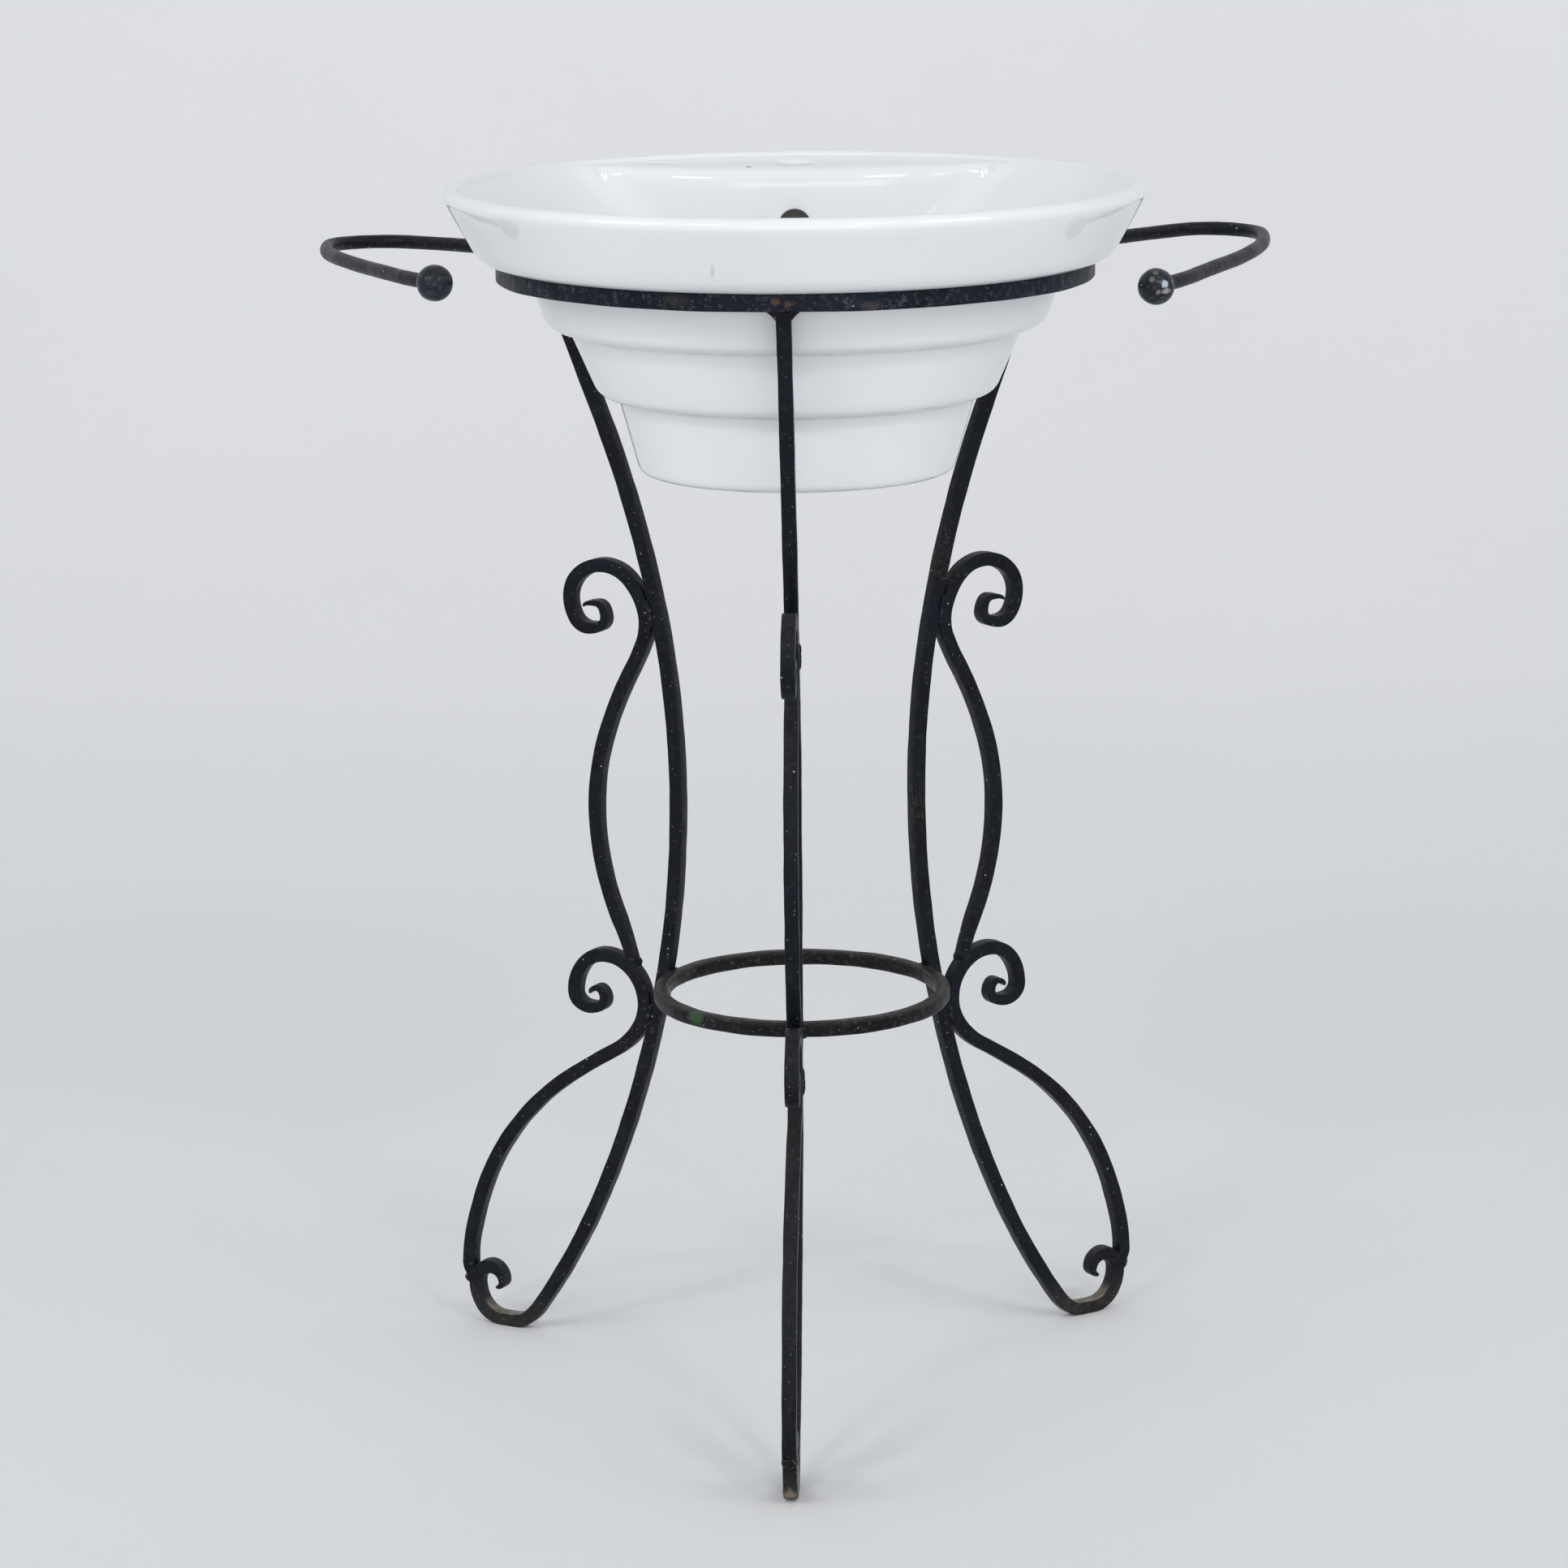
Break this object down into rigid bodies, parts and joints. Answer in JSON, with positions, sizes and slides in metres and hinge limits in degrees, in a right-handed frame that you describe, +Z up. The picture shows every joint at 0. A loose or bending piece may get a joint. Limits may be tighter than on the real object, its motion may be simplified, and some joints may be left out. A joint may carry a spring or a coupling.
{
  "type": "wash basin stand",
  "caption": "Wrought iron wash basin stand: scrolled square-bar legs with bowed side bars, hooked towel arms and a ring that carries a stepped white china basin.",
  "frame": {"origin": "on the floor, under the middle of the outline seen from above", "axes": "+Z up, front leg towards -Y, towel arms to -X and +X, tap deck towards +Y"},
  "size_m": [0.692, 0.5328, 0.87],
  "materials": {
    "blackened_iron": "satin",
    "ball_iron": "satin",
    "weld_metal": "satin",
    "white_china": "gloss"
  },
  "bodies": {
    "stand": {"top_ring": "blackened_iron", "lower_ring": "blackened_iron", "leg_front": "blackened_iron", "leg_right": "blackened_iron", "leg_left": "blackened_iron", "upper_scroll_front": "blackened_iron", "upper_scroll_right": "blackened_iron", "upper_scroll_left": "blackened_iron", "lower_scroll_front": "blackened_iron", "lower_scroll_right": "blackened_iron", "lower_scroll_left": "blackened_iron", "towel_arm_left": "blackened_iron", "towel_arm_right": "blackened_iron", "arm_balls": "ball_iron", "leg_top_welds": "weld_metal", "upper_scroll_welds": "weld_metal", "lower_scroll_welds": "weld_metal", "bow_end_welds": "weld_metal", "foot_end_welds": "weld_metal", "lower_ring_welds": "weld_metal", "arm_welds": "weld_metal"},
    "china_basin": {"basin": "white_china"}
  },
  "joints": [
    {"name": "basin_lift", "type": "slide", "parent": "stand", "child": "china_basin", "axis": [0, 0, 1], "range_m": [0, 0.2]}
  ]
}
